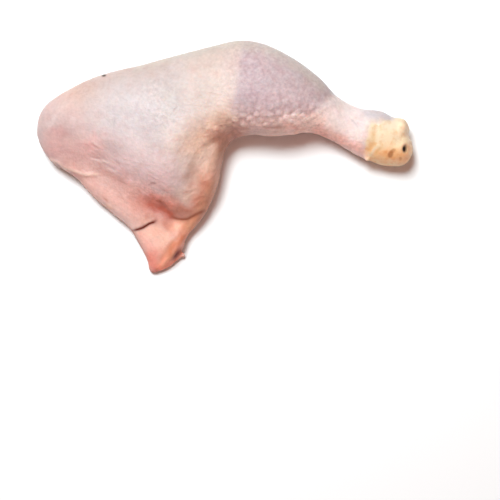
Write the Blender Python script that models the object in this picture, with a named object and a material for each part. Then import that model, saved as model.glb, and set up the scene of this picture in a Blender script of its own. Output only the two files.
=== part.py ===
"""A raw chicken leg quarter with its skin on, lying on its flesh side as on a table.

Metres, +Z up. +X points along the leg towards the hock, +Y towards the outer side of the knee,
and the origin is on the table, under the middle of the leg. The leg is one piece of food, so it
is one solid: a skin that is lofted over stations from the hock's cut end, along the drumstick
and round the knee, to the cut along the back. Sizes in the tables below are in millimetres.
"""

import math
from dataclasses import dataclass

import bmesh
import bpy
import numpy as np

MM = 0.001

RINGS = 86
COLUMNS = 29
EDGE_CROWDING = 0.6
END_CROWDING = 0.35

SKIN_COLOR = (0.79, 0.62, 0.56, 1.0)
SKIN_ROUGHNESS = 0.42
SHARP_ANGLE = math.radians(55)


@dataclass(frozen=True)
class Station:
    """One cross-section: where its two side edges are in plan, how high they and the top lie,
    and how far in from each edge the top keeps rising."""

    name: str
    outer: tuple
    inner: tuple
    top: float
    outer_lip: float
    inner_lip: float
    outer_rise: float
    inner_rise: float


@dataclass(frozen=True)
class BackCut:
    """A place on the cut along the back: its share of the cut's length, how high the cut's lower
    and upper edges lie, and how far in from it the leg keeps gaining thickness."""

    share: float
    low: float
    high: float
    reach: float


@dataclass(frozen=True)
class Furrow:
    """A groove, or a ridge where its depth is negative, along a line in plan."""

    name: str
    path: tuple
    depth: float
    width: float


STATIONS = (
    Station("hock end", (132, 20), (134, 8), 17, 10, 9, 7, 7),
    Station("hock knob", (129.5, 25.3), (131.3, -0.5), 23, 12, 10, 12, 12),
    Station("hock notch", (120, 28.5), (117, -4.5), 25, 13, 10, 15, 15),
    Station("ankle hump", (112, 33), (107.5, -2.5), 25, 13, 10, 16, 16),
    Station("ankle", (99.5, 34.5), (97, 1), 24, 12, 10, 15, 15),
    Station("shank", (89, 38), (82.5, 9.5), 25, 12, 11, 15, 15),
    Station("shank top", (79, 44), (72.5, 14.5), 29, 14, 12, 16, 15),
    Station("calf foot", (68, 55.5), (60, 18), 35, 18, 14, 20, 18),
    Station("calf", (53.5, 66.5), (49, 17), 41, 20, 17, 27, 24),
    Station("calf head", (37.5, 75.5), (34, 15.5), 43.5, 22, 18, 33, 28),
    Station("knee top", (21, 81.5), (20, 16), 42.5, 21, 17, 38, 28),
    Station("knee", (7, 82), (8.5, 14), 41, 19, 15, 42, 26),
    Station("knee crook", (-11.5, 78), (1.5, 7), 40, 17, 12, 46, 22),
    Station("thigh", (-63, 65), (-6, -24), 42, 14, 10, 58, 14),
    Station("thigh root", (-88.5, 59), (-15.2, -43), 38, 13, 8, 54, 12),
    Station("hip", (-108, 50.5), (-26.5, -57), 32, 12, 6, 44, 9),
    Station("rump", (-124, 41), (-31, -68.5), 27, 11.5, 4.5, 32, 6),
    Station("back corner", (-132.5, 29), (-44.5, -80.5), 23, 11, 3.5, 20, 5),
    Station("back", (-134, 18), (-52.5, -82.4), 21, 10, 3.5, 12, 4),
)
THIGH_FROM = "calf head"
THIGH_FULL = "knee crook"

HOCK_EDGE = ((132, 20), (130.6, 15.5), (132.6, 11.5), (134, 8))
HOCK_END_REACH = 9.0
HOCK_BOW_REACH = 7.0

BACK_EDGE = (
    (-134, 18),
    (-130, 6.5),
    (-123, -2.5),
    (-105, -15),
    (-95.5, -26),
    (-81, -38.7),
    (-66, -51.5),
    (-62.8, -58.5),
    (-57, -68.5),
    (-54.6, -75),
    (-54.4, -80.5),
    (-52.5, -82.4),
)
BACK_CUTS = (
    BackCut(0.00, 8.0, 11.0, 24.0),
    BackCut(0.14, 6.5, 10.5, 22.0),
    BackCut(0.28, 3.0, 9.5, 14.0),
    BackCut(0.42, 1.0, 8.0, 8.0),
    BackCut(0.75, 0.8, 6.0, 6.0),
    BackCut(1.00, 0.3, 3.2, 4.0),
)

MUSCLE_RIM = (
    (-150, 6),
    (-118, 5),
    (-90, -3),
    (-75, -14),
    (-59, -26),
    (-46, -34.5),
    (-35, -32.5),
    (-27, -21),
    (-23, -9),
    (-18, 3),
    (-8, 12),
    (16, 18),
)
MUSCLE_REACH = 25.0
RIM_FILLET = 5.0
RIM_SAMPLES = 160
RIM_SOFTNESS = 1.0

LOOSE_SKIN = (
    ((-112, -4), 18.0),
    ((-92, -20), 14.5),
    ((-66, -42), 13.0),
    ((-50, -62), 10.0),
    ((-48, -78), 7.0),
    ((-34, -56), 12.0),
    ((-18, -34), 19.0),
    ((-12, -8), 24.0),
    ((4, 14), 30.0),
    ((14, 24), 42.0),
)
LOOSE_SKIN_BLEND = 5.5

FURROWS = (
    Furrow("pit under the thigh", ((-58, -27), (-47, -35), (-36, -36)), 3.4, 6.0),
    Furrow("fold across the tail", ((-68, -51), (-58, -49.5), (-48, -44)), 2.6, 4.0),
    Furrow("fold under the skin roll", ((-40, -42.5), (-27, -43), (-14, -37)), 2.4, 4.0),
    Furrow("inner side of the skin roll", ((-24, -24), (-21, -8), (-15, 2), (-4, 12)), 2.6, 4.5),
    Furrow("crook of the knee", ((-14, 8), (0, 14), (16, 19)), 2.2, 5.5),
    Furrow("skin roll", ((0, 8), (-9, -8), (-12, -22), (-20, -34)), -2.4, 7.0),
    Furrow("rolled edge of the tail", ((-24, -50), (-34, -64), (-46, -76)), -1.6, 5.0),
    Furrow("fold of the back skin", ((-124, 1), (-108, -9.5), (-90, -13)), -1.5, 4.0),
    Furrow("groove round the hock", ((104, 24), (103, 12), (100, 0)), 1.2, 4.0),
    Furrow("cleft of the hock", ((135, 14.5), (127, 13.5), (119, 12)), 1.8, 4.0),
)
FURROW_FADE = 0.25
FURROW_EDGE_FADE = 0.6

PELVIS_HOLLOW = Furrow("pelvis hollow", ((-94, 44), (-82, 12), (-67, -15), (-62, -52)), 5.0, 15.0)
UNDER_SHARE = 0.42
UNDER_REACH = 22.0
THINNEST = 2.0


def smooth_through(knots, values, at):
    """Values on a smooth curve through the knots, with the slopes of a Catmull-Rom spline."""
    knots = np.asarray(knots, float)
    values = np.asarray(values, float)
    steps = np.diff(knots)
    secants = np.diff(values, axis=0) / (steps[:, None] if values.ndim > 1 else steps)
    slopes = np.concatenate([secants[:1], (secants[:-1] + secants[1:]) / 2, secants[-1:]])
    span = np.clip(np.searchsorted(knots, at, side="right") - 1, 0, len(steps) - 1)
    t = (at - knots[span]) / steps[span]
    h = steps[span]
    if values.ndim > 1:
        t = t[:, None]
        h = h[:, None]
    start = (1 + 2 * t) * (1 - t) ** 2 * values[span] + t * (1 - t) ** 2 * h * slopes[span]
    end = t * t * (3 - 2 * t) * values[span + 1] - t * t * (1 - t) * h * slopes[span + 1]
    return start + end


def rise(distance, reach):
    """A quarter-round climb from 0 at an edge to 1 at its reach."""
    t = np.clip(distance / reach, 0, 1)
    return np.sqrt(1 - (1 - t) ** 2)


def smooth_step(t):
    """0 below 0, 1 above 1, and a smooth climb between."""
    t = np.clip(t, 0, 1)
    return t * t * (3 - 2 * t)


def crowded(count, crowding):
    """Shares from 0 to 1, closer together at both ends."""
    even = np.linspace(0, 1, count)
    return crowding * (1 - np.cos(even * math.pi)) / 2 + (1 - crowding) * even


def distance_and_share(x, y, path):
    """How far each point is from a line in plan, and how far along the line its nearest point
    is, as a share of the line's length."""
    path = np.asarray(path, float)
    runs = np.linalg.norm(np.diff(path, axis=0), axis=1)
    before = np.concatenate([[0], np.cumsum(runs)])
    nearest = np.full(x.shape, np.inf)
    share = np.zeros(x.shape)
    for i, length in enumerate(runs):
        (ax, ay), (bx, by) = path[i], path[i + 1]
        t = np.clip(((x - ax) * (bx - ax) + (y - ay) * (by - ay)) / length**2, 0, 1)
        distance = np.hypot(x - ax - t * (bx - ax), y - ay - t * (by - ay))
        closer = distance < nearest
        nearest = np.where(closer, distance, nearest)
        share = np.where(closer, (before[i] + t * length) / before[-1], share)
    return nearest, share


def station_places():
    """How far along the leg each station is, measured through the middles of the stations."""
    outer = np.array([station.outer for station in STATIONS], float)
    inner = np.array([station.inner for station in STATIONS], float)
    steps = np.linalg.norm(np.diff((outer + inner) / 2, axis=0), axis=1)
    return np.concatenate([[0], np.cumsum(steps)])


def station_place(name, places):
    """How far along the leg the station of this name is."""
    return next(place for station, place in zip(STATIONS, places) if station.name == name)


def station_field(name, places, at):
    """One of the stations' sizes, read at places along the leg."""
    return smooth_through(places, [getattr(station, name) for station in STATIONS], at)


def bend_row_to(plan, row, across, edge, share):
    """Moves one end row of the grid onto a curved edge, and every other row by its share."""
    edge = np.array(edge, float)
    runs = np.concatenate([[0], np.cumsum(np.linalg.norm(np.diff(edge, axis=0), axis=1))])
    bow = smooth_through(runs / runs[-1], edge, across) - plan[row]
    plan += bow[None, :, :] * share[:, None, None]


def plan_grid():
    """Plan positions of the grid, from the hock (row 0) to the back, and from the outer edge
    (column 0) to the inner one, with how far along and across each one is."""
    places = station_places()
    along = places[-1] * crowded(RINGS, END_CROWDING)
    across = crowded(COLUMNS, EDGE_CROWDING)
    outer = station_field("outer", places, along)
    inner = station_field("inner", places, along)
    plan = outer[:, None, :] + (inner - outer)[:, None, :] * across[None, :, None]
    knee = station_place(THIGH_FULL, places)
    bend_row_to(plan, 0, across, HOCK_EDGE, 1 - smooth_step(along / HOCK_BOW_REACH))
    bend_row_to(plan, -1, across, BACK_EDGE, smooth_step((along - knee) / (along[-1] - knee)) ** 2)
    return plan, along, across, places


def loose_skin_height(x, y):
    """Height of the loose skin beside the thigh, blended between its named spots."""
    weight_sum = np.zeros(x.shape)
    height = np.zeros(x.shape)
    for (spot_x, spot_y), spot_height in LOOSE_SKIN:
        weight = ((x - spot_x) ** 2 + (y - spot_y) ** 2 + LOOSE_SKIN_BLEND**2) ** -1.5
        weight_sum += weight
        height += weight * spot_height
    return height / weight_sum


def muscle_swell(x, y):
    """0 outside the thigh muscle's rim, 1 well inside it, with a soft foot at the rim. The
    distance is summed over the whole rim, so that the muscle has no crease where it turns."""
    rim = np.array(MUSCLE_RIM, float)
    share = np.linspace(0, 1, len(rim))
    line = smooth_through(share, rim, np.linspace(0, 1, RIM_SAMPLES))
    pull = np.zeros(x.shape)
    for (ax, ay), (bx, by) in zip(line[:-1], line[1:]):
        squared = (x - (ax + bx) / 2) ** 2 + (y - (ay + by) / 2) ** 2
        pull += math.hypot(bx - ax, by - ay) / (squared + RIM_SOFTNESS**2)
    sign = np.where(y > np.interp(x, line[:, 0], line[:, 1]), 1, -1)
    inset = sign * np.clip(math.pi / pull - RIM_SOFTNESS, 0, None)
    depth = (inset + np.sqrt(inset**2 + RIM_FILLET**2)) / 2
    return 1 - (1 - np.clip(depth / MUSCLE_REACH, 0, 1)) ** 2


def furrow_depth(x, y, furrow):
    """How deep a furrow lies at each point; it fades out at both ends."""
    distance, share = distance_and_share(x, y, furrow.path)
    fade = smooth_step(share / FURROW_FADE) * smooth_step((1 - share) / FURROW_FADE)
    return furrow.depth * fade * np.exp(-((distance / furrow.width) ** 2))


def back_cut(name, share):
    """One of the back cut's sizes at shares of its length."""
    shares = [cut.share for cut in BACK_CUTS]
    return np.interp(share, shares, [getattr(cut, name) for cut in BACK_CUTS])


def leg_heights(plan, along, across, places):
    """Heights of the leg's top and underside over the plan grid."""
    x, y = plan[..., 0], plan[..., 1]

    def field(name):
        return station_field(name, places, along)[:, None]

    chord = station_field("inner", places, along) - station_field("outer", places, along)
    width = np.linalg.norm(chord, axis=1)[:, None]
    to_outer = across[None, :] * width
    to_inner = (1 - across[None, :]) * width
    lip = field("outer_lip") * (1 - across[None, :]) + field("inner_lip") * across[None, :]
    hock_climb = rise(distance_and_share(x, y, HOCK_EDGE)[0], HOCK_END_REACH)
    to_back, back_share = distance_and_share(x, y, BACK_EDGE)
    back_climb = rise(to_back, back_cut("reach", back_share))

    thigh_start = station_place(THIGH_FROM, places)
    thigh_length = station_place(THIGH_FULL, places) - thigh_start
    on_thigh = smooth_step((along[:, None] - thigh_start) / thigh_length)
    loose = np.minimum(loose_skin_height(x, y), field("top"))
    crown = field("top") - (field("top") - loose) * (1 - muscle_swell(x, y)) * on_thigh
    sides = rise(to_outer, field("outer_rise")) * rise(to_inner, field("inner_rise"))
    upper = lip + (crown - lip) * sides * hock_climb
    furrows = sum(furrow_depth(x, y, furrow) for furrow in FURROWS)
    upper -= furrows * np.minimum(1, sides / FURROW_EDGE_FADE)
    cut_high = back_cut("high", back_share)
    upper = cut_high + (upper - cut_high) * back_climb

    under_reach = np.minimum(UNDER_SHARE * width, UNDER_REACH)
    under_sides = rise(to_outer, under_reach) * rise(to_inner, under_reach)
    lower = lip * (1 - under_sides * hock_climb)
    lower += furrow_depth(x, y, PELVIS_HOLLOW) * under_sides
    cut_low = back_cut("low", back_share)
    lower = np.clip(cut_low + (lower - cut_low) * back_climb, 0, None)
    return np.maximum(upper, lower + THINNEST), lower


def skin_vertices(mesh):
    """The grid's corners: rows over the top and under the leg, which share their side edges."""
    plan, along, across, places = plan_grid()
    upper, lower = leg_heights(plan, along, across, places)
    seam = (upper + lower - THINNEST) / 2
    top_rows = []
    under_rows = []
    for row in range(RINGS):
        top_row = []
        under_row = []
        for column in range(COLUMNS):
            x, y = plan[row, column] * MM
            on_seam = column in (0, COLUMNS - 1)
            high = seam[row, column] if on_seam else upper[row, column]
            top_row.append(mesh.verts.new((x, y, high * MM)))
            low = (x, y, lower[row, column] * MM)
            under_row.append(top_row[-1] if on_seam else mesh.verts.new(low))
        top_rows.append(top_row)
        under_rows.append(under_row)
    return top_rows, under_rows


def add_strip(mesh, first, second):
    """Faces between two rows of corners; where the rows share a corner, a face is a triangle."""
    for i in range(len(first) - 1):
        corners = [first[i], first[i + 1], second[i + 1], second[i]]
        mesh.faces.new(list(dict.fromkeys(corners)))


def skin_mesh(name):
    """The closed skin: the top, the underside, and a strip at the hock and at the back."""
    mesh = bmesh.new()
    top_rows, under_rows = skin_vertices(mesh)
    for rows in (top_rows, under_rows):
        for first, second in zip(rows[:-1], rows[1:]):
            add_strip(mesh, first, second)
    for row in (0, -1):
        add_strip(mesh, top_rows[row], under_rows[row])
    bmesh.ops.recalc_face_normals(mesh, faces=mesh.faces)
    data = bpy.data.meshes.new(name)
    mesh.to_mesh(data)
    mesh.free()
    return data


def raw_skin_material():
    """Pale pink raw chicken skin, damp enough to shine softly."""
    material = bpy.data.materials.new("raw_skin")
    material.use_nodes = True
    shader = material.node_tree.nodes["Principled BSDF"]
    shader.inputs["Base Color"].default_value = SKIN_COLOR
    shader.inputs["Roughness"].default_value = SKIN_ROUGHNESS
    shader.inputs["Metallic"].default_value = 0.0
    return material


def settle_on_table(data):
    """Moves the mesh so that the origin is on the table under the middle of its box."""
    points = np.empty(len(data.vertices) * 3)
    data.vertices.foreach_get("co", points)
    points = points.reshape(-1, 3)
    middle = (points.min(axis=0) + points.max(axis=0)) / 2
    points -= (middle[0], middle[1], points[:, 2].min())
    data.vertices.foreach_set("co", points.ravel())
    data.update()


def build_chicken_leg():
    """The whole leg quarter as one object."""
    data = skin_mesh("chicken_leg")
    settle_on_table(data)
    data.shade_smooth()
    data.set_sharp_from_angle(angle=SHARP_ANGLE)
    leg = bpy.data.objects.new("chicken_leg", data)
    leg.data.materials.append(raw_skin_material())
    bpy.context.scene.collection.objects.link(leg)
    return leg


def main():
    """Clears the scene and builds the leg."""
    for old in list(bpy.data.objects):
        bpy.data.objects.remove(old, do_unlink=True)
    build_chicken_leg()


main()
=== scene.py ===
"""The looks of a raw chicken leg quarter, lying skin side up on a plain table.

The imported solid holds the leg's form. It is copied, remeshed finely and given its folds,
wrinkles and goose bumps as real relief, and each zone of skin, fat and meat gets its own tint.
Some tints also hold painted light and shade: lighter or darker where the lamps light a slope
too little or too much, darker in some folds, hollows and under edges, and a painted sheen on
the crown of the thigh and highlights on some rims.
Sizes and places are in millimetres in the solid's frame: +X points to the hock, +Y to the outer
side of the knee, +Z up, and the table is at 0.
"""

import logging
import math
import random
from dataclasses import dataclass, field
from enum import Enum

import bpy
import numpy as np
from mathutils import Euler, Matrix, Vector, kdtree, noise


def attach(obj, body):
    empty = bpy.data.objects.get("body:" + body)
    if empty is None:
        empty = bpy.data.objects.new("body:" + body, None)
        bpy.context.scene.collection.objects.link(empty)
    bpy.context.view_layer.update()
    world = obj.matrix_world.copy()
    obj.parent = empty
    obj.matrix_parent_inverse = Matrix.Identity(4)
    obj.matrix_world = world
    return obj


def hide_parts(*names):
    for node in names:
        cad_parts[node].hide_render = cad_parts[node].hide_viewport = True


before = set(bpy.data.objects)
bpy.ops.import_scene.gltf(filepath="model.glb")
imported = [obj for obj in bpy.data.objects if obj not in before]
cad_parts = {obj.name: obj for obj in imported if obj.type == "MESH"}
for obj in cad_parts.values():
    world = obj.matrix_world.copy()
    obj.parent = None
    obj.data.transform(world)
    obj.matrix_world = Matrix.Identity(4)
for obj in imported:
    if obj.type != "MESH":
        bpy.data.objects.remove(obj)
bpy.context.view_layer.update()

LOG = logging.getLogger("chicken_leg")
MM = 0.001
TWIST = np.array(Euler((0.6, 0.4, 0.8)).to_matrix())
Plan = tuple[tuple[float, float], ...]


class Side(Enum):
    """Which side of the leg a feature lies on."""

    SKIN = "skin"
    UNDER = "under"
    FLESH = "flesh"
    WALL = "wall"


class Form(Enum):
    """The cross-section of a crease."""

    GROOVE = "groove"
    RIDGE = "ridge"
    LIP = "lip"


@dataclass(frozen=True)
class Crease:
    """A fold, wrinkle or edge of the skin along a line in plan. A lip is higher on the left of
    its line, and steps down at the line."""

    name: str
    path: Plan
    height: float
    width: float
    tint: str
    share: float
    tint_width: float
    form: Form = Form.GROOVE
    side: Side = Side.SKIN


@dataclass(frozen=True)
class Dent:
    """A round or oval hollow, or a bump where its depth is negative."""

    name: str
    place: tuple[float, float]
    radii: tuple[float, float]
    turn: float
    depth: float
    tint: str
    share: float
    side: Side = Side.SKIN


@dataclass(frozen=True)
class Zone:
    """An area of skin inside a closed outline in plan, with one tint and its own thickness."""

    name: str
    outline: Plan
    edge: float
    tint: str
    share: float
    lift: float = 0.0


@dataclass(frozen=True)
class Patch:
    """A tint round a line in plan, fading out over its reach."""

    name: str
    path: Plan
    reach: float
    tint: str
    share: float
    side: Side = Side.SKIN


@dataclass(frozen=True)
class PaintedShading:
    """Painted light or shade: a place on the skin whose tint is made lighter where the lamps light
    its slope too little, or darker where they light it too much or where it lies in a hollow.
    """

    name: str
    path: Plan
    reach: float
    factor: float


@dataclass(frozen=True)
class Wrinkles:
    """A zone of fine parallel wrinkles: where, which way they run, how close and how high."""

    name: str
    path: Plan
    reach: float
    heading: float
    spacing: float
    height: float
    stretch: float = 6.0
    side: Side = Side.SKIN


@dataclass(frozen=True)
class Grain:
    """How strongly the skin is speckled round a line in plan."""

    path: Plan
    reach: float
    strength: float


@dataclass(frozen=True)
class GooseBumps:
    """Raised follicles over a zone of the skin. Their tint share paints pale tips, which are partly
    painted light, and dark feet, which are partly painted shade.
    """

    path: Plan
    reach: float
    height: float
    tint_share: float


@dataclass(frozen=True)
class Waves:
    """Smooth random waves: how wide they are, how far they swing each way, and their seed."""

    name: str
    size: float
    swing: float
    seed: float

    def at(self, points: np.ndarray) -> np.ndarray:
        """How far the waves swing at each point."""
        return self.swing * ripple(points, self.size, self.seed)


@dataclass(frozen=True)
class Morsel:
    """A small soft lump that is fused to the leg's edge."""

    name: str
    place: tuple[float, float, float]
    radii: tuple[float, float, float]
    turn: float


SKIN_BASE = "#D8C3BE"
FLESH_BASE = "#D1A89A"
WALL_BASE = "#D09481"

FLESH_AREA = ((16, 96), (6, 72), (-3, 56), (-4, 42), (2, 30), (8, 22), (6, 0), (-10, -60),
              (-60, -100), (-150, -60), (-150, 96))

HOCK_CAP = Zone(
    "hock cap", ((103.6, 23.5), (102, 16.5), (99.6, 9.5), (99.4, 3), (98, -12), (140, -12),
                 (142, 30), (130, 34), (121, 27.6), (115, 26), (109, 22.4)),
    2.6, "#F3D6AF", 0.92, 0.3,
)
ZONES = (
    Zone("cream over the knee", ((-34, 86), (-30, 60), (-34, 40), (-26, 24), (-12, 14), (2, 24),
                                 (8, 38), (11, 52), (14, 70), (15, 90)), 16, "#DCC5BA", 0.75),
    Zone("lilac calf", ((14, 92), (12.5, 74), (12, 64), (10, 52), (8, 40), (5, 30), (16, 25),
                        (34, 24), (52, 25), (63, 27), (71, 38), (78, 45), (90, 60), (60, 96)),
         5.0, "#C5AFB3", 0.85),
    Zone("shank", ((63, 26), (70, 38), (78, 46), (92, 48), (104, 34), (102, 22), (99, 10),
                   (86, 12), (76, 16)), 8.0, "#FFECE7", 0.8),
    HOCK_CAP,
)

PATCHES = (
    Patch("pink end of the thigh", ((-123, 37), (-112, 20), (-123, 12)), 26, "#CCABA8", 0.7),
    Patch("peach upper edge", ((-105, 46), (-80, 54), (-50, 60)), 14, "#D4AB99", 0.6),
    Patch("greyish upper thigh", ((-70, 45), (-40, 50)), 18, "#C7BCBA", 0.7),
    # Painted sheen: the crown's whiteness stands for the soft sheen of the lamp above, over the
    # skin's pale colour.
    Patch("pale crown of the thigh with painted sheen", ((-70, 28), (-55, 22), (-42, 18)), 22, "#D3C6C6", 0.9),
    Patch("pale ridge beside the crown", ((-37, 44), (-36, 31)), 7, "#D1C4BE", 0.5),
    Patch("cream down to the pit", ((-30, 10), (-27, -9)), 13, "#FFE8DC", 0.6),
    Patch("lilac below the crown", ((-75, -2), (-55, -8), (-42, -14)), 14, "#E4C9C9", 0.8),
    Patch("pink by the pit", ((-70, -12), (-58, -18), (-44, -20)), 8, "#DFB1AE", 0.6),
    Patch("red lower end", ((-118, 5), (-105, 0), (-93, 3)), 12, "#CD9A94", 0.7),
    Patch("pink band", ((-108, -12), (-95, -19), (-81, -27), (-60, -39)), 11, "#EAB6AA", 0.85),
    Patch("shade under the muscle", ((-88, -9), (-72, -20), (-58, -28)), 6, "#C48E83", 0.5),
    Patch("peach top of the tail", ((-51, -53), (-43, -56), (-44, -64)), 12, "#FBC2AD", 0.9),
    Patch("salmon end of the tail", ((-53, -71), (-51, -77), (-47, -81)), 6.5, "#F08370", 0.8),
    Patch("orange rim of the tail", ((-22, -47), (-29, -57), (-36, -66), (-44, -76)), 4.5,
          "#ED9474", 0.75),
    Patch("pink side of the tail", ((-61, -54), (-57, -59), (-54, -65)), 3.5, "#F2AC9C", 0.6),
    # Partly painted shade: the orange of the tail's hollow, darker where its slope turns away from
    # the light.
    Patch("orange hollow of the tail with painted shade", ((-40, -67.5), (-36, -63), (-31, -56)), 3.0, "#D9835C", 0.7),
    Patch("red round the pit", ((-58, -32), (-47, -38), (-36, -42)), 9, "#C7715C", 0.6),
    Patch("deep red of the pit", ((-51, -33), (-44, -36.6), (-38, -41)), 4.2, "#A83C22", 0.75),
    Patch("red spot on the tail", ((-42, -47), (-39, -49)), 3.5, "#C47560", 0.6),
    Patch("tan under the roll", ((-34, -49.5), (-24, -47.5)), 4.5, "#E9A889", 0.6),
    Patch("skin roll", ((-6, 2), (-12, -8), (-15, -20)), 9, "#D3A38B", 0.8),
    Patch("red foot of the roll", ((-12, -20), (-17, -28), (-12, -32)), 8, "#CB836C", 0.8),
    Patch("brown by the pit", ((-37, -31), (-31, -37), (-24, -38), (-17, -34)), 6.0,
          "#BE7862", 0.85),
    Patch("pale flecks on the end", ((-124, 23), (-120, 27)), 2.6, "#E3CFCB", 0.5),
    Patch("pale cheek of the end", ((-116, 34), (-110, 38)), 4.0, "#E0CCC6", 0.4),
    Patch("pink cheek of the end", ((-109, 34), (-104, 27)), 4.0, "#D2ABA4", 0.4),
    Patch("pale fleck by the end", ((-107, 27), (-105, 25)), 2.0, "#E3CFCB", 0.5),
    Patch("pink blotch on the end", ((-122, 19), (-114, 18)), 3.6, "#D3A09C", 0.5),
    Patch("brown edge of the roll", ((3, 6), (-3, -10), (-8, -24), (-16, -38), (-24, -50)), 4.5,
          "#D29A7C", 0.8),
    Patch("pink rim of the tail", ((-46, -81), (-38, -75), (-30, -67)), 3, "#DC8C76", 0.8),
    Patch("mauve rim of the muscle", ((-60, -22), (-48, -28), (-38, -31)), 4, "#C7A09C", 0.55),
    # Partly painted light: the red is laid lighter over the steep wall under the muscle's edge, which
    # the lamps leave in shade.
    Patch("red above the pit with painted light", ((-51, -29.4), (-45, -31.4), (-39, -34)), 3.4, "#D58876", 0.75),
    Patch("cream streaks by the pit", ((-31, -26), (-28, -28)), 3.0, "#E3C7B4", 0.45),
    # Partly painted shade: a darker brown in the small valley on the left of the skin roll.
    Patch("brown beside the roll with painted shade", ((-25, -30), (-23, -18), (-21, -8)), 4.0, "#CC9B88", 0.45),
    # Painted light: the tan inside of the knee is made lighter where its slope faces away from the
    # lamps.
    Patch("tan inside of the knee with painted light", ((-20, 8), (-10, 18), (2, 24)), 9, "#FFD9BE", 0.7),
    # Partly painted shade: a darker brown in the crook of the knee, over the brown of its crinkled
    # skin.
    Patch("brown crook of the knee with painted shade", ((-6, 13), (3, 15), (12, 17)), 6, "#AB694D", 0.75),
    Patch("shade at the knee", ((-3, 27), (2, 22)), 4, "#B98A76", 0.35),
    Patch("brown under the knee", ((-2, 4), (2, 10)), 4, "#B27455", 0.6),
    Patch("mauve calf", ((18, 62), (24, 50), (22, 40)), 12, "#BB9FA5", 0.55),
    Patch("grey middle of the calf", ((45, 50), (58, 40)), 12, "#CCB6B8", 0.5),
    Patch("grey edge of the calf", ((14, 79), (36, 73), (54, 62), (68, 50)), 5.5, "#D5C9B9", 0.5),
    Patch("grey edge of the thigh", ((-60, 65), (-30, 72), (8, 80)), 5, "#CFC1B6", 0.7),
    Patch("pink foot of the calf", ((16, 24), (35, 23), (60, 23)), 6, "#E2C2BA", 0.7),
    Patch("red foot of the calf", ((44, 22), (50, 20.5), (56, 18.5)), 1.8, "#D08A78", 0.25),
    Patch("pale skin by the shank", ((56, 25), (63, 27), (68, 24)), 4.5, "#FFDACD", 0.7),
    Patch("pink side of the shank", ((66, 17), (75, 14.5), (88, 9), (98, 4)), 4.6, "#DF9886", 0.6),
    # Partly painted light: a paler tint on the calf's foot, which the lamps light only weakly.
    Patch("pale skin at the calf's foot with painted light", ((43, 24), (50, 24.6), (60, 23.8)), 4.0, "#F7DED6", 0.65),
    # Painted light: a paler lower edge of the shank, which faces away from the key lamp.
    Patch("pale lower edge of the shank with painted light", ((86, 6.4), (92, 4), (99, 1)), 3.0, "#F0CFC5", 0.55),
    Patch("lilac ankle hump", ((101, 31), (110, 31), (118, 28)), 5, "#D6CACD", 0.8),
    Patch("bright top of the hock", ((110, 17), (117, 17)), 7, "#F3DDBE", 0.6),
    Patch("orange cuff", ((104.6, 17), (104.2, 12), (102.5, 6)), 2.6, "#E6BE93", 0.65),
    Patch("orange fleck on the cuff", ((102.8, 7.5), (103.4, 5)), 2.0, "#D59B64", 0.7),
    Patch("orange fleck on the hock", ((112.5, 23), (115, 24)), 2.2, "#E1B48A", 0.3),
    Patch("orange top of the knob", ((125, 25), (130, 23)), 2.2, "#EACCAC", 0.55),
    Patch("tan side of the hock", ((108, 3), (116, 2), (125, 1.6)), 4.6, "#E7AE78", 0.85),
    Patch("pale top of the cap", ((105, 21), (116, 22), (127, 20)), 3.6, "#F6E2C8", 0.6),
    Patch("pale cut of the hock", ((132, 21), (132, 15)), 3.0, "#F3E8DA", 0.7),
    Patch("inner thigh", ((-20, 20), (-32, 0), (-28, -25)), 30, "#D4AB9B", 0.9, Side.FLESH),
    Patch("cream by the knee", ((10, 40), (-5, 45)), 22, "#D7C0B4", 0.9, Side.FLESH),
    Patch("skin of the calf", ((30, 45), (60, 35), (90, 20)), 24, "#C1B2B5", 0.95, Side.UNDER),
    Patch("skin of the hock", ((112, 14), (128, 12)), 12, "#D8C19E", 0.95, Side.UNDER),
    Patch("pelvis tissue", ((-90, 42), (-98, 18), (-84, -10)), 19, "#7C333A", 0.95, Side.FLESH),
    Patch("meat at the rim", ((-12, 68), (-40, 62), (-72, 55)), 8, "#A04E48", 0.95, Side.FLESH),
    Patch("meat by the dome", ((-22, 54), (-40, 42)), 7, "#BF7D72", 0.85, Side.FLESH),
    Patch("pink fat", ((-46, 44), (-58, 40)), 8, "#C7A6A6", 0.9, Side.FLESH),
    Patch("white fat", ((-68, 26), (-64, 10), (-60, 0)), 8, "#CFC3BF", 0.95, Side.FLESH),
    Patch("red pocket", ((-70, 2), (-67, -10)), 6, "#4A1318", 0.9, Side.FLESH),
    Patch("fat below the pocket", ((-70, -24), (-64, -38)), 8, "#C48F90", 0.85, Side.FLESH),
    Patch("pink fat by the knee", ((-8, 62), (-10, 46), (-2, 32)), 5, "#D9A296", 0.7, Side.FLESH),
    Patch("fat in the pelvis", ((-84, 24), (-80, 12)), 4, "#D9C3BF", 0.8, Side.FLESH),
    Patch("bright meat", ((-100, 28), (-94, 14)), 6, "#A9494A", 0.6, Side.FLESH),
    Patch("upper fat", ((-80, 34), (-74, 40)), 3.2, "#DCCBC7", 0.75, Side.FLESH),
    Patch("lower fat", ((-78, -14), (-74, -22)), 3.6, "#D9BDB9", 0.7, Side.FLESH),
    Patch("dark cleft", ((-104, 8), (-96, -4), (-86, -16)), 3.0, "#571E24", 0.6, Side.FLESH),
    Patch("dark cleft by the fat", ((-76, 28), (-78, 14)), 2.6, "#571E24", 0.6, Side.FLESH),
    Patch("streak to the tail", ((-62, -44), (-55, -62), (-52, -74)), 5, "#B46460", 0.8, Side.FLESH),
    Patch("cream tail", ((-44, -56), (-42, -70)), 8, "#D5B7A8", 0.8, Side.FLESH),
    Patch("meat in the cut", ((-124, -2), (-105, -15), (-81, -39), (-60, -62)), 7, "#BF7367", 0.6,
          Side.WALL),
)

# Painted light and shade: factors above 1 lighten slopes that face away from the lamps; factors below
# 1 darken slopes that face them, and the hollow of the tail.
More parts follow.
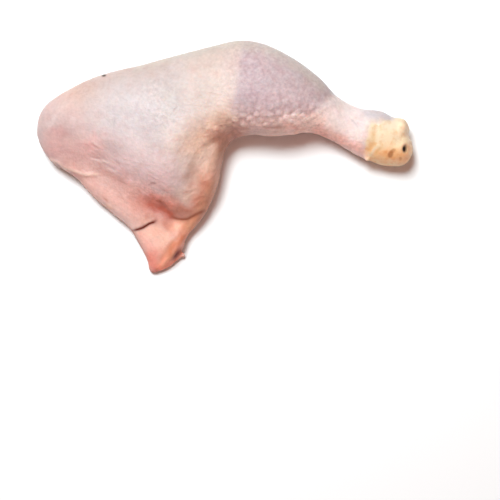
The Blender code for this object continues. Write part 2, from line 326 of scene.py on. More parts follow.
PAINTED_SHADING = (
    PaintedShading("upper edge of the thigh", ((-100, 52), (-60, 62), (-20, 74), (10, 82)), 9, 0.87),
    PaintedShading("upper edge of the calf", ((20, 78), (40, 70), (58, 56), (70, 48)), 8, 0.88),
    PaintedShading("top of the shank", ((76, 42), (92, 34), (104, 33), (116, 30)), 6, 0.88),
    PaintedShading("beside the crown", ((-36, 44), (-34, 34)), 8, 0.92),
    PaintedShading("cream over the knee", ((-10, 66), (-12, 48)), 12, 0.93),
    PaintedShading("end of the thigh", ((-122, 12), (-108, 11), (-92, 11)), 7, 1.24),
    PaintedShading("below the crown", ((-96, 14), (-70, 18), (-62, 6), (-48, -5)), 11, 1.12),
    PaintedShading("foot of the muscle", ((-66, -18), (-55, -23.5), (-45, -28), (-38, -31)), 4.0, 1.45),
    PaintedShading("lower edge of the band", ((-118, -6), (-104, -20), (-86, -36), (-68, -50)), 3.5, 1.25),
    PaintedShading("inside of the knee", ((-20, 6), (-13, 14), (-4, 20)), 5, 1.25),
    PaintedShading("upper calf", ((16, 60), (30, 54)), 9, 0.93),
    PaintedShading("lower calf", ((28, 37), (48, 35), (63, 34)), 8, 1.12),
    PaintedShading("foot of the calf", ((12, 22), (36, 22), (60, 22)), 6, 1.2),
    PaintedShading("front of the calf's foot", ((43, 23.5), (52, 24.5), (62, 23)), 4.0, 1.5),
    PaintedShading("foot of the shank", ((64, 20), (78, 13), (92, 6)), 5, 1.45),
    PaintedShading("crook of the knee", ((-8, 19), (4, 15), (13, 18)), 5, 1.12),
    PaintedShading("under the roll", ((-34, -48), (-24, -46)), 4, 1.25),
    PaintedShading("foot of the hock", ((106, 2), (118, 1), (128, 3)), 6, 1.35),
    PaintedShading("end of the knob", ((133, 15), (132, 10)), 3, 1.25),
    PaintedShading("wrinkles of the end", ((-92, 7), (-84, 1), (-77, -5), (-68, -5)), 6, 1.17),
    PaintedShading("calf by the shank", ((53, 25), (62, 26.5)), 4, 1.2),
    PaintedShading("lower edge of the shank", ((80, 9), (90, 4.4), (99, 0)), 3, 1.4),
    PaintedShading("edge of the hock", ((104, -3), (112, -4.4), (122, -4.6), (130, -1), (133.4, 5)),
         2.6, 1.2),
    PaintedShading("muscle above the pit", ((-60, -25), (-51, -29)), 3.6, 1.15),
    PaintedShading("lower left of the end", ((-112, 3), (-104, 0)), 6, 0.93),
    PaintedShading("cut of the hock", ((134, 18), (131.5, 15.5), (127, 18)), 3.6, 1.7),
    PaintedShading("tail beside the slit", ((-44, -75), (-38.6, -70.6)), 2.0, 1.2),
    PaintedShading("lower hock", ((106, -1), (114, -3), (123, -3)), 4.0, 1.14),
    PaintedShading("upper corner of the hock", ((128, 17), (133, 14)), 3.0, 1.3),
    PaintedShading("hollow of the tail", ((-38, -65), (-34, -60), (-31, -56)), 3.0, 0.87),
    PaintedShading("skin under the roll", ((-33, -50), (-27, -53)), 3.0, 1.12),
    PaintedShading("rim of the tail", ((-45, -80), (-36, -73.4), (-30.6, -68)), 2.4, 1.5),
    PaintedShading("top of the roll", ((-16, -5), (-12, 1)), 4, 0.9),
    PaintedShading("foot of the roll", ((-10, -14), (-16, -26), (-20, -34)), 5, 1.12),
)

CREASES = (
    Crease("fold across the tail", ((-67, -52.4), (-60.8, -50.2), (-53, -47), (-46.5, -42.8)),
           0.8, 4.5, "#6E1C10", 1.0, 1.2, Form.LIP),
    Crease("rim above the slit", ((-46, -78.4), (-40.8, -73), (-37.3, -68.8), (-33.5, -64.4)),
           0.6, 1.4, "#E7AB8E", 0.5, 1.3, Form.RIDGE),
    # Partly painted shade: the groove's orange tint darkens the hollow between the tail's flap and
    # its rim.
    Crease("hollow of the tail", ((-23, -43.5), (-28.6, -51), (-34.3, -58.2), (-41, -66.4),
                                  (-48, -76.6)), 0.5, 1.9, "#D98463", 0.4, 2.4),
    Crease("slit of the tail", ((-39.8, -74.6), (-37.3, -72), (-34.5, -69.5), (-31.4, -66),
                                (-29, -62.6)), 0.8, 1.6, "#7A2415", 1.0, 1.9),
    # Partly painted shade: a dark brown line under the fold, where the skin roll overhangs it.
    Crease("fold under the skin roll", ((-40, -41.5), (-30.1, -43.9), (-20, -40.7), (-12, -35.8)),
           0.45, 4.5, "#8E4633", 0.85, 1.3, Form.LIP),
    Crease("shade under the roll", ((-37, -43.5), (-30.1, -45.5), (-20, -42.5), (-14, -38.5)),
           0.2, 3.0, "#CE8160", 0.5, 2.6),
    Crease("pit", ((-60, -26), (-50, -32.5), (-43.4, -36.6), (-38, -41), (-33, -44)),
           1.3, 4.0, "#9C432D", 0.3, 3.6),
    # Partly painted shade: a brownish line at the foot of the muscle, where its rounded edge turns
    # down.
    Crease("foot of the muscle", ((-90, -7), (-76, -15.5), (-65.5, -21.5), (-55, -28)),
           0.55, 3.5, "#BE8375", 0.35, 2.6),
    Crease("inner side of the roll", ((-29, -24), (-24.6, -12), (-21.5, -2), (-12.6, 8), (-3, 14)),
           0.5, 3.0, "#B38D78", 0.3, 3.0),
    Crease("fill beside the roll", ((-28, -22), (-24, -12), (-20, -2), (-12, 8), (-4, 14)),
           2.0, 5.5, "#E6C2AE", 0.0, 1.0, Form.RIDGE),
    Crease("first rib of the roll", ((-32, -25), (-24, -22.5), (-16, -20.4)),
           0.35, 1.5, "#DDB6A2", 0.3, 1.6, Form.RIDGE),
    Crease("second rib of the roll", ((-30, -34), (-26, -29), (-21.2, -25.4), (-12, -22)),
           0.35, 1.5, "#DDB6A2", 0.3, 1.6, Form.RIDGE),
    Crease("third rib of the roll", ((-26, -33), (-18, -30), (-9, -27.3)),
           0.2, 1.3, "#AF6E5C", 0.3, 1.5),
    Crease("fourth rib of the roll", ((-23, -37.5), (-15, -32.8), (-8.4, -29)),
           0.2, 1.3, "#AF6E5C", 0.3, 1.4),
    Crease("dark rib of the roll", ((-20, -18.2), (-14, -19), (-7.5, -22)),
           0.25, 1.6, "#B57560", 0.35, 2.0),
    Crease("line at the knee", ((-11.5, 8.3), (-7.6, 10.9), (-4.5, 12.6), (0, 14)),
           0.3, 1.2, "#94644F", 0.4, 1.2),
    Crease("red fold under the calf", ((39, 23.2), (45, 22.4), (50, 20.8), (56, 18.8)),
           0.25, 1.2, "#CC8472", 0.4, 1.2),
    Crease("second fold under the calf", ((52, 19.8), (60, 18.6), (68, 18.4), (76, 13.6)),
           0.2, 1.2, "#CB7F6E", 0.25, 1.2),
    Crease("upper fold at the calf's foot", ((26, 20.6), (34, 19.8), (41, 20.2), (48, 21.4)),
           0.25, 1.0, "#B98070", 0.4, 0.9),
    Crease("pale fold at the calf's foot", ((28, 18.6), (36, 18), (45, 19.4)),
           0.3, 1.0, "#EBC6BA", 0.45, 0.9, Form.RIDGE),
    Crease("rim under the calf", ((22, 15.6), (30, 15.6), (38, 16), (46, 17), (56, 18.2)),
           0.8, 1.6, "#F6CFC0", 0.7, 1.3, Form.RIDGE),
    # Partly painted highlight: a pale line on the raised rim of the back skin.
    Crease("pale rim of the back skin with painted highlight", ((-126, 1), (-117, -4.6), (-105.8, -9.9), (-97, -12.4),
                                    (-87, -11.4)), 0.7, 1.3, "#EECEBE", 0.75, 0.9, Form.RIDGE),
    # Painted shadow: a dark brown line under the overhanging edge of the back skin.
    Crease("painted shadow under the back skin's edge", ((-123.4, -2.8), (-115, -8.8), (-109, -12.6), (-102, -18)),
           0.5, 1.1, "#834F3F", 0.75, 1.0),
    Crease("first wrinkle of the end", ((-94, 9.6), (-90, 6.6), (-86.6, 3.4)),
           0.25, 0.9, "#BE8E88", 0.3, 0.9),
    Crease("second wrinkle of the end", ((-88, 9.6), (-84.6, 7.4), (-81, 5)),
           0.12, 0.9, "#BE8E88", 0.15, 0.9),
    Crease("third wrinkle of the end", ((-96.6, 1), (-91, -0.8), (-85, -1.4)),
           0.2, 0.9, "#BE8E88", 0.2, 0.9),
    Crease("pale wrinkle of the end", ((-93, 11.4), (-89, 7.6), (-85.6, 4.6)),
           0.25, 0.9, "#E9CFC7", 0.4, 0.9, Form.RIDGE),
    Crease("second pale wrinkle", ((-96, -0.6), (-90, -2.4), (-84, -3.4), (-78, -4.8)),
           0.25, 1.0, "#E9CFC7", 0.45, 1.0, Form.RIDGE),
    Crease("brown stroke on the band", ((-88, -27.2), (-84, -30.2), (-81, -32.4)),
           0.15, 0.9, "#B5604A", 0.5, 0.8),
    Crease("cream stroke on the band", ((-86, -32), (-81.6, -34.6), (-77.6, -38)),
           0.2, 1.0, "#F6CBB2", 0.6, 1.0, Form.RIDGE),
    Crease("long line", ((-86, -5.6), (-80, -7.4), (-74, -9.4)),
           0.12, 1.0, "#B48E88", 0.25, 1.0),
    Crease("line down the crown", ((-77, 36), (-75.6, 27), (-77, 18), (-74, 10)),
           0.08, 1.2, "#C2AFB5", 0.25, 1.0),
    Crease("short line over the pit", ((-54.5, -19.6), (-50, -19.1), (-46, -19.4)),
           0.25, 0.8, "#9F7875", 0.5, 0.8),
    Crease("short line by the pit", ((-46.3, -21.4), (-42, -23.6), (-38, -25.4)),
           0.2, 0.8, "#AC8581", 0.4, 0.8),
    Crease("kink above the shank", ((79, 44.4), (74.5, 42), (68, 39)),
           0.35, 2.4, "#C8A8A5", 0.3, 2.4),
    Crease("first vein", ((87, 28.5), (92.2, 23.8), (96, 19)), 0.05, 0.8, "#A895A2", 0.28, 0.8),
    Crease("second vein", ((91.8, 26.2), (95, 23.2), (98, 20)), 0.05, 0.8, "#A895A2", 0.22, 0.7),
    Crease("cuff of the hock", ((106.4, 25), (106, 17), (105.3, 10), (105.4, 3)),
           0.2, 1.4, "#DDB385", 0.4, 1.4),
    Crease("membrane on the hock", ((101.3, -1.2), (104.2, 2.8), (106.6, 6.3), (111.5, 10.2)),
           0.25, 1.3, "#F6E3C6", 0.8, 1.0, Form.RIDGE),
    Crease("shade beside the membrane", ((103.6, -2.2), (106.4, 1.8), (109, 5.4), (114, 8.4)),
           0.1, 1.3, "#DDAE77", 0.5, 1.2),
    Crease("rim of the hock", ((103, -2), (108, -3.2), (114.6, -4.4), (123, -4.6), (129.4, -1.6),
                               (132.6, 4.6), (132.4, 11)), 0.8, 1.7, "#F4DDB8", 0.8, 1.4, Form.RIDGE),
    Crease("notch of the knob", ((134, 12.6), (130, 13), (125.5, 14.5)),
           0.25, 1.8, "#E2C29D", 0.3, 1.8),
    Crease("edge of the inner thigh", ((-2, 58), (-24, 45), (-40, 30), (-47, 10), (-52, -10),
                                       (-52, -34), (-44, -46), (-30, -44), (-20, -36)),
           1.5, 2.4, "#9C5343", 0.5, 2.2, Form.GROOVE, Side.FLESH),
)

DENTS = (
    Dent("red round the hole", (127.9, 5.4), (3.2, 3.6), 8.0, 0.2, "#C98455", 0.4),
    # Partly painted shade: the near-black tint darkens the hole in the hock.
    Dent("hole in the hock with painted shade", (127.5, 5.6), (1.6, 2.5), -6.0, 1.5, "#1F0A04", 1.0),
    Dent("dimple of the hock", (117.4, 1.8), (1.9, 2.3), -15.0, 0.2, "#B06C40", 0.8),
    Dent("upper dimple of the hock", (118.9, 4.2), (2.1, 1.3), 25.0, 0.15, "#BE7A4B", 0.6),
    Dent("fill in the notch", (131.5, 13), (3.6, 3.2), 0.0, -0.9, "#F3E3CB", 0.5),
    Dent("second dimple of the hock", (124.6, -1.0), (1.2, 1.2), 0.0, 0.3, "#BF7C4D", 0.6),
    Dent("speck on the thigh", (-84.7, 57.2), (1.5, 0.9), 0.0, -0.3, "#301F1B", 0.9),
    Dent("pocket in the pelvis", (-68, -3), (6, 9), 20.0, 3.0, "#3A0F12", 0.8, Side.FLESH),
    Dent("bone end", (-60, -16), (3.4, 3.8), 0.0, -1.6, "#E7D2C1", 0.95, Side.FLESH),
    Dent("vessel", (-77, 38), (4, 5), 30.0, 1.6, "#5A1D20", 0.8, Side.FLESH),
)

WRINKLES = (
    Wrinkles("end of the thigh", ((-96, 4), (-82, -3)), 12, -32, 2.6, 0.11, 3.5),
    Wrinkles("below the crown", ((-76, -6), (-50, -14)), 13, -26, 2.6, 0.09),
    Wrinkles("over the knee", ((-18, 36), (2, 30)), 17, -14, 2.4, 0.15),
    Wrinkles("above the crown", ((-90, 36), (-50, 40)), 22, 70, 3.0, 0.05),
    Wrinkles("side of the crown", ((-34, 30), (-30, 5)), 13, 60, 2.8, 0.08),
    Wrinkles("crook of the knee", ((-6, 16), (12, 20)), 9, 20, 2.4, 0.13, 3.0),
    Wrinkles("pink band", ((-100, -16), (-66, -36)), 10, -38, 3.0, 0.16),
    Wrinkles("round the pit", ((-56, -30), (-36, -38)), 9, -38, 2.6, 0.11),
    Wrinkles("skin roll", ((-9, 0), (-14, -26)), 10, 40, 2.6, 0.2, 3.0),
    Wrinkles("tail", ((-48, -56), (-52, -74)), 12, -56, 3.2, 0.12),
    Wrinkles("side of the shank", ((64, 17), (90, 8)), 7, 60, 2.6, 0.16, 3.0),
    Wrinkles("top of the shank", ((80, 30), (94, 22)), 10, -30, 2.6, 0.1, 4.0),
    Wrinkles("hock", ((108, 12), (124, 12)), 12, 78, 2.2, 0.14, 3.0),
    Wrinkles("meat fibres", ((-12, 68), (-72, 55)), 10, -12, 1.8, 0.25, 10.0, Side.FLESH),
)

GOOSE_BUMPS = (
    GooseBumps(((20, 66), (36, 50), (58, 44)), 20, 0.06, 0.2),
    GooseBumps(((10, 23.5), (24, 26.5), (38, 28), (56, 28)), 8.0, 0.6, 0.34),
    GooseBumps(((-10, 17), (8, 19)), 7, 0.24, 0.2),
    GooseBumps(((72, 36), (84, 26)), 9, 0.06, 0.08),
    GooseBumps(((-90, 30), (-40, 25), (-10, 50)), 40, 0.03, 0.03),
)

SPECKLING = (
    Grain(((20, 66), (34, 46), (58, 44)), 20, 0.5),
    Grain(((14, 26), (40, 26), (62, 26)), 8, 0.6),
    Grain(((66, 17), (80, 12), (96, 8)), 8, 0.4),
    Grain(((-60, -22), (-40, -28)), 9, 0.5),
    Grain(((-14, 14), (6, 18)), 9, 0.3),
    Grain(((-46, 42), (-43, 24)), 9, 0.5),
)
SPECKLING_BASE = 0.35

DRIFT_ACROSS = Waves("wandering of the lines in X", 6.0, 0.9, 40.0)
DRIFT_ALONG = Waves("wandering of the lines in Y", 6.0, 0.9, 60.0)
RIM_WAVES = Waves("wandering of the skin's rim", 20.0, 2.6, 55.0)
RIM_NOTCHES = Waves("notches in the skin's rim", 6.0, 1.4, 75.0)
BUMP_OUTLINE = Waves("uneven outline of a goose bump", 2.0, 0.35, 15.0)
SWELLS = Waves("soft swells", 13.0, 0.25, 3.1)
SMALL_SWELLS = Waves("small swells", 5.0, 0.10, 8.3)
PORES = Waves("pores of the skin", 2.3, 0.04, 12.7)
CRAGS = Waves("crags of the cut meat", 4.2, 1.4, 21.0)
CRAG_DROP = 0.7
CRAG_LINE = ((-90, 42), (-92, 18), (-72, -10), (-62, -40))
CRAG_REACH = 22.0
# Goose bump tints: a pale tip, partly painted light on the bump's top, and a dark foot, partly
# painted shade between the bumps.
LIT_PALE_BUMP_TIP = "#EBD3CC"
SHADED_BUMP_FOOT = "#B98F8E"

MORSELS = (
    Morsel("nub at the hock", (101.6, -1.0, 15.6), (2.0, 1.7, 1.9), 30.0),
    Morsel("rim of the tail", (-38.2, -74.4, 3.0), (10.5, 1.7, 2.0), 36.0),
    Morsel("tip of the tail", (-50.4, -79.9, 2.6), (3.0, 2.4, 2.2), 5.0),
    Morsel("scrap at the tail", (-29.6, -69.4, 3.4), (1.8, 1.6, 1.6), 20.0),
)


def linear(hex_colour: str) -> tuple[float, float, float]:
    """The linear colour of an sRGB hex value.

    Args:
        hex_colour: Six hex digits after a hash.

    Returns:
        Red, green and blue from 0 to 1, linear.
    """
    parts = [int(hex_colour[i : i + 2], 16) / 255 for i in (1, 3, 5)]
    return tuple(c / 12.92 if c <= 0.04045 else ((c + 0.055) / 1.055) ** 2.4 for c in parts)


def smooth_step(t: np.ndarray) -> np.ndarray:
    """0 below 0, 1 above 1, and a smooth climb between."""
    t = np.clip(t, 0, 1)
    return t * t * (3 - 2 * t)


def smooth_line(path: Plan, steps: int = 4) -> np.ndarray:
    """Points on a Catmull-Rom curve through a path, with some steps between each two points."""
    points = np.array(path, float)
    if len(points) < 3:
        return points
    ends = np.vstack([2 * points[0] - points[1], points, 2 * points[-1] - points[-2]])
    curve = []
    for i in range(len(points) - 1):
        a, b, c, d = ends[i : i + 4]
        for t in np.arange(steps) / steps:
            curve.append(0.5 * (2 * b + (c - a) * t + (2 * a - 5 * b + 4 * c - d) * t * t
                                + (3 * b - a - 3 * c + d) * t**3))
    curve.append(points[-1])
    return np.array(curve)


def along_line(plan: np.ndarray, path: Plan) -> tuple[np.ndarray, np.ndarray, np.ndarray]:
    """Where points lie beside a smooth line through the path's points.

    Args:
        plan: Points in plan, in millimetres.
        path: The line's own points.

    Returns:
        The distance from the line, which side of it (1 on its left), and how far the nearest
        place on it is from the nearer end, all in millimetres.
    """
    line = smooth_line(path)
    runs = np.linalg.norm(np.diff(line, axis=0), axis=1)
    before = np.concatenate([[0], np.cumsum(runs)])
    nearest = np.full(len(plan), np.inf)
    side = np.ones(len(plan))
    from_end = np.zeros(len(plan))
    for i, length in enumerate(runs):
        step = line[i + 1] - line[i]
        offset = plan - line[i]
        t = np.clip(offset @ step / length**2, 0, 1)
        distance = np.linalg.norm(offset - t[:, None] * step, axis=1)
        closer = distance < nearest
        along = before[i] + t * length
        nearest = np.where(closer, distance, nearest)
        side = np.where(closer, np.sign(step[0] * offset[:, 1] - step[1] * offset[:, 0]), side)
        from_end = np.where(closer, np.minimum(along, before[-1] - along), from_end)
    return nearest, side, from_end


def tapered(from_end: np.ndarray, width: float, path: Plan) -> np.ndarray:
    """0 at a line's ends and 1 in its middle; a wide line takes longer to fade out."""
    length = np.linalg.norm(np.diff(np.array(path, float), axis=0), axis=1).sum()
    return smooth_step(from_end / min(3.0 * width + 1.5, 0.45 * length))


def near_line(plan: np.ndarray, path: Plan, reach: float) -> np.ndarray:
    """1 on a line in plan, fading to 0 over its reach."""
    return np.exp(-((along_line(plan, path)[0] / reach) ** 2))


def inside_outline(plan: np.ndarray, outline: Plan, edge: float) -> np.ndarray:
    """1 inside a closed outline, 0 outside it, and a smooth change across its edge."""
    corners = np.array(outline, float)
    inside = np.zeros(len(plan), bool)
    x, y = plan[:, 0], plan[:, 1]
    for (ax, ay), (bx, by) in zip(corners, np.roll(corners, -1, axis=0)):
        if ay != by:
            crossing = ax + (y - ay) * (bx - ax) / (by - ay)
            inside ^= ((ay > y) != (by > y)) & (x < crossing)
    distance = along_line(plan, (*outline, outline[0]))[0]
    return smooth_step(np.where(inside, distance, -distance) / edge + 0.5)


def ripple(points: np.ndarray, size: float, seed: float) -> np.ndarray:
    """Smooth noise from -1 to 1 at each point, with features of a given size in millimetres. Its
    lattice is turned away from the mesh's own rows."""
    places = points @ TWIST / size + np.array((seed, 1.7 * seed, -0.6 * seed))
    return np.fromiter((noise.noise(place) for place in map(Vector, places)), float, len(places))


class NodeTree:
    """A material's node tree, and one way to add a node to it."""

    def __init__(self, name: str) -> None:
        """Makes the material with its empty tree."""
        self.material = bpy.data.materials.new(name)
        self.material.use_nodes = True
        self.tree = self.material.node_tree
        self.tree.nodes.clear()

    def add(self, kind: str, inputs: dict | None = None, **settings: object) -> bpy.types.Node:
        """Adds a node with its settings and links.

        Args:
            kind: The node's type name.
            inputs: Values or output sockets by input name or number.
            settings: The node's own properties.

        Returns:
            The new node.
        """
        node = self.tree.nodes.new(kind)
        for key, value in settings.items():
            setattr(node, key, value)
        for key, value in (inputs or {}).items():
            if isinstance(value, bpy.types.NodeSocket):
                self.tree.links.new(value, node.inputs[key])
            else:
                node.inputs[key].default_value = value
        return node


@dataclass(frozen=True)
class WetTissue:
    """A finish for raw skin, meat or cartilage. Its tint comes from the mesh, since it changes
    from place to place, and the finish adds what is finer: mottling, grain, damp and depth."""

    name: str
    flush: str
    flush_share: float
    flush_mm: float
    mottle: float
    mottle_mm: float
    speckle: float
    speckle_mm: float
    grain_mm: float
    grain_depth_mm: float
    roughness: float
    roughness_spread: float
    depth_mm: float
    depth_share: float
    film: float
    film_roughness: float
    gloss: float = 0.25

    def material(self) -> bpy.types.Material:
        """Builds the node material.

        Returns:
            The finished material.
        """
        nodes = NodeTree(self.name)
        place = nodes.add("ShaderNodeTexCoord").outputs["Object"]
        tint = nodes.add("ShaderNodeAttribute", attribute_name="tint").outputs["Color"]
        blood = self.noise_of(nodes, place, self.flush_mm, detail=3.0)
        flushed = nodes.add(
            "ShaderNodeMix",
            {
                "Factor": self.spread(nodes, blood, 0.0, self.flush_share, start=0.48, end=0.72),
                "A": tint,
                "B": (*linear(self.flush), 1.0),
            },
            data_type="RGBA",
            blend_type="MULTIPLY",
        )
        blotch = self.noise_of(nodes, place, self.mottle_mm, detail=4.0)
        speckle = self.noise_of(nodes, place, self.speckle_mm, detail=2.0)
        specks = nodes.add(
            "ShaderNodeMath",
            {
                0: self.spread(nodes, speckle, -self.speckle, self.speckle),
                1: nodes.add("ShaderNodeAttribute", attribute_name="grain").outputs["Fac"],
                2: 1.0,
            },
            operation="MULTIPLY_ADD",
        )
        shade = nodes.add(
            "ShaderNodeMath",
            {
                0: self.spread(nodes, blotch, 1 - self.mottle, 1 + self.mottle),
                1: specks.outputs["Value"],
            },
            operation="MULTIPLY",
        )
        mottled = nodes.add(
            "ShaderNodeVectorMath",
            {0: flushed.outputs["Result"], 1: shade.outputs["Value"]},
            operation="MULTIPLY",
        )
        pores = nodes.add(
            "ShaderNodeTexVoronoi",
            {"Vector": place, "Scale": 1 / (self.grain_mm * MM), "Randomness": 0.9},
            feature="SMOOTH_F1",
        )
        relief = nodes.add(
            "ShaderNodeMath",
            {0: pores.outputs["Distance"], 1: speckle},
            operation="ADD",
        )
        bump = nodes.add(
            "ShaderNodeBump",
            {"Height": relief.outputs["Value"], "Distance": self.grain_depth_mm * MM,
             "Strength": 1.0},
        )
        damp = self.spread(
            nodes, blotch, self.roughness - self.roughness_spread,
            self.roughness + self.roughness_spread,
        )
        shader = nodes.add(
            "ShaderNodeBsdfPrincipled",
            {
                "Base Color": mottled.outputs["Vector"],
                "Roughness": damp,
                "Normal": bump.outputs["Normal"],
                "IOR": 1.4,
                "Specular IOR Level": self.gloss,
                "Subsurface Weight": self.depth_share,
                "Subsurface Radius": (1.0, 0.42, 0.26),
                "Subsurface Scale": self.depth_mm * MM,
                "Coat Weight": self.film,
                "Coat Roughness": self.film_roughness,
                "Coat IOR": 1.33,
            },
        )
        nodes.add("ShaderNodeOutputMaterial", {"Surface": shader.outputs["BSDF"]})
        return nodes.material

    @staticmethod
    def noise_of(
        nodes: NodeTree, place: bpy.types.NodeSocket, size_mm: float, detail: float
    ) -> bpy.types.NodeSocket:
        """Noise whose features have a real size in millimetres."""
        inputs = {"Vector": place, "Scale": 1 / (size_mm * MM), "Detail": detail, "Roughness": 0.6}
        return nodes.add("ShaderNodeTexNoise", inputs).outputs["Fac"]

    @staticmethod
    def spread(
        nodes: NodeTree,
        value: bpy.types.NodeSocket,
        low: float,
        high: float,
        start: float = 0.3,
        end: float = 0.7,
    ) -> bpy.types.NodeSocket:
        """Stretches noise between two values, from where it starts to where it ends."""
        inputs = {"Value": value, "From Min": start, "From Max": end, "To Min": low, "To Max": high}
        return nodes.add("ShaderNodeMapRange", inputs).outputs["Result"]


# Raw skin: thin, damp and translucent over pale fat, so light sinks in and comes out softly.
RAW_SKIN = WetTissue(
    "raw chicken skin", flush="#E7B9B2", flush_share=0.2, flush_mm=6.0, mottle=0.045,
    mottle_mm=9.0, speckle=0.16, speckle_mm=2.2, grain_mm=1.3, grain_depth_mm=0.13,
    roughness=0.44, roughness_spread=0.08, depth_mm=2.2, depth_share=0.3, film=0.06,
    film_roughness=0.3,
)
# Raw meat and tissue: wetter and darker than skin, with a brighter film of juice.
RAW_MEAT = WetTissue(
    "raw chicken meat", flush="#C77E76", flush_share=0.3, flush_mm=8.0, mottle=0.12,
    mottle_mm=6.0, speckle=0.1, speckle_mm=1.6, grain_mm=1.6, grain_depth_mm=0.25,
    roughness=0.36, roughness_spread=0.08, depth_mm=1.8, depth_share=0.25, film=0.25,
    film_roughness=0.2,
)
# Cartilage and horny skin of the hock: waxy, drier, a little harder.
HOCK_SKIN = WetTissue(
    "waxy hock skin", flush="#EFC08A", flush_share=0.5, flush_mm=4.0, mottle=0.04,
    mottle_mm=7.0, speckle=0.04, speckle_mm=1.7, grain_mm=1.3, grain_depth_mm=0.13,
    roughness=0.5, roughness_spread=0.06, depth_mm=2.0, depth_share=0.3, film=0.1,
    film_roughness=0.35,
)


@dataclass
class ChickenLeg:
    """The leg's visible skin and flesh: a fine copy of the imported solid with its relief. Slopes
    are the upward share of a normal: 1 on top, 0 at the outline and -1 underneath."""

    node: str = "chicken_leg"
    merge_gap: float = 0.01
    voxel: float = 1.4
    smooth_rounds: int = 4
    smooth_share: float = 0.5
    fine_above_slope: float = 0.0
    outline_slope: float = 0.12
    under_slope: float = -0.6
    slope_blend: float = 0.3
    wall_slope: float = 0.35
    wall_height: float = 10.0
    wall_blend: float = 3.0
    wall_share: float = 0.6
    rim_width: float = 5.0
    rim_blend: float = 2.5
    flesh_edge: float = 4.0
    hock_from: float = 110.0
    follicle_seed: int = 11
    follicle_spacing: float = 5.5
    follicle_crowding: float = 0.75
    follicle_radius: float = 3.0
    follicle_slope: float = 2.1
    lowest_follicle: float = 0.35
    # Goose bump tints: the share of lit pale tips and the falloff of shaded dark feet.
    lit_tip_share: float = 0.5
    shaded_foot_power: int = 3
    lip_start: float = -0.5
    lip_climb: float = 1.1
    lip_groove: float = 0.35
    lip_groove_width: float = 1.2
    dent_wobble: float = 0.3
    dent_floor: float = 0.55
    dent_wall: float = 0.9
    wrinkle_sharpness: float = 3.0
    wrinkle_seed: float = 5.0
    faintest_wrinkle: float = 0.03
    patch_wobble: float = 1.6
    plump: float = 0.4
    table_gap: float = 0.05
    tint_share: float = 0.9
    points: np.ndarray = field(default=None, repr=False)
    normals: np.ndarray = field(default=None, repr=False)
    plan: np.ndarray = field(default=None, repr=False)
    sides: dict[Side, np.ndarray] = field(default_factory=dict, repr=False)
    bumps: np.ndarray = field(default=None, repr=False)

    def build(self) -> bpy.types.Object:
        """Makes the leg's mesh, its relief, its tints and its materials.

        Returns:
            The finished leg.
        """
        leg = self.copy_solid()
        self.add_morsels()
        self.refine(leg)
        self.read(leg)
        self.find_sides()
        self.find_follicles()
        self.raise_relief(leg)
        self.paint(leg)
        self.dress(leg)
        return leg

    def copy_solid(self) -> bpy.types.Object:
        """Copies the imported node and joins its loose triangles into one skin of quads.

        Returns:
            The copy, as the active object in edit mode.
        """
        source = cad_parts[self.node]
        leg = bpy.data.objects.new("leg_skin", source.data.copy())
        leg.data.materials.clear()
        bpy.context.scene.collection.objects.link(leg)
        bpy.ops.object.select_all(action="DESELECT")
        leg.select_set(True)
        bpy.context.view_layer.objects.active = leg
        bpy.ops.object.mode_set(mode="EDIT")
        bpy.ops.mesh.select_all(action="SELECT")
        bpy.ops.mesh.remove_doubles(threshold=self.merge_gap * MM)
        bpy.ops.mesh.tris_convert_to_quads()
        bpy.ops.mesh.normals_make_consistent(inside=False)
        return leg

    def add_morsels(self) -> None:
        """Adds the small lumps at the leg's edge; remeshing then fuses them to it."""
        for morsel in MORSELS:
            bpy.ops.mesh.select_all(action="DESELECT")
            bpy.ops.mesh.primitive_ico_sphere_add(subdivisions=3, radius=MM)
            bpy.ops.transform.resize(value=morsel.radii, center_override=(0, 0, 0))
            bpy.ops.transform.rotate(
                value=-math.radians(morsel.turn), orient_axis="Z", center_override=(0, 0, 0)
            )
            bpy.ops.transform.translate(value=Vector(morsel.place) * MM)
            LOG.info("fused %s", morsel.name)
        bpy.ops.object.mode_set(mode="OBJECT")

    def refine(self, leg: bpy.types.Object) -> None:
        """Remeshes the leg to small even faces, and splits those of its upper side once more.

        Args:
            leg: The merged copy of the solid, which is the active object.
        """
        round_off = leg.modifiers.new("round", "SUBSURF")
        round_off.levels = round_off.render_levels = 1
        remesh = leg.modifiers.new("even", "REMESH")
        remesh.mode = "VOXEL"
        remesh.voxel_size = self.voxel * MM
        soften = leg.modifiers.new("soften", "SMOOTH")
        soften.factor = self.smooth_share
        soften.iterations = self.smooth_rounds
        for name in ("round", "even", "soften"):
            bpy.ops.object.modifier_apply(modifier=name)
        normals = np.empty(len(leg.data.polygons) * 3)
        leg.data.polygons.foreach_get("normal", normals)
        facing_up = normals.reshape(-1, 3)[:, 2] > self.fine_above_slope
        bpy.ops.object.mode_set(mode="EDIT")
        bpy.ops.mesh.select_mode(type="FACE")
        bpy.ops.mesh.select_all(action="DESELECT")
        bpy.ops.object.mode_set(mode="OBJECT")
        leg.data.polygons.foreach_set("select", facing_up)
        bpy.ops.object.mode_set(mode="EDIT")
        bpy.ops.mesh.subdivide(number_cuts=1, quadcorner="INNERVERT")
        bpy.ops.mesh.vertices_smooth(factor=self.smooth_share, repeat=2)
        bpy.ops.object.mode_set(mode="OBJECT")
        triangles = sum(len(polygon.vertices) - 2 for polygon in leg.data.polygons)
        LOG.info("%d vertices, %d triangles", len(leg.data.vertices), triangles)

    def read(self, leg: bpy.types.Object) -> None:
        """Reads the mesh's points, in millimetres, and their normals."""
        count = len(leg.data.vertices)
        self.points = np.empty(count * 3)
        leg.data.vertices.foreach_get("co", self.points)
        self.points = self.points.reshape(-1, 3) / MM
        self.normals = np.empty(count * 3)
        leg.data.vertices.foreach_get("normal", self.normals)
        self.normals = self.normals.reshape(-1, 3)
        drift = [DRIFT_ACROSS.at(self.points), DRIFT_ALONG.at(self.points)]
        self.plan = self.points[:, :2] + np.column_stack(drift)

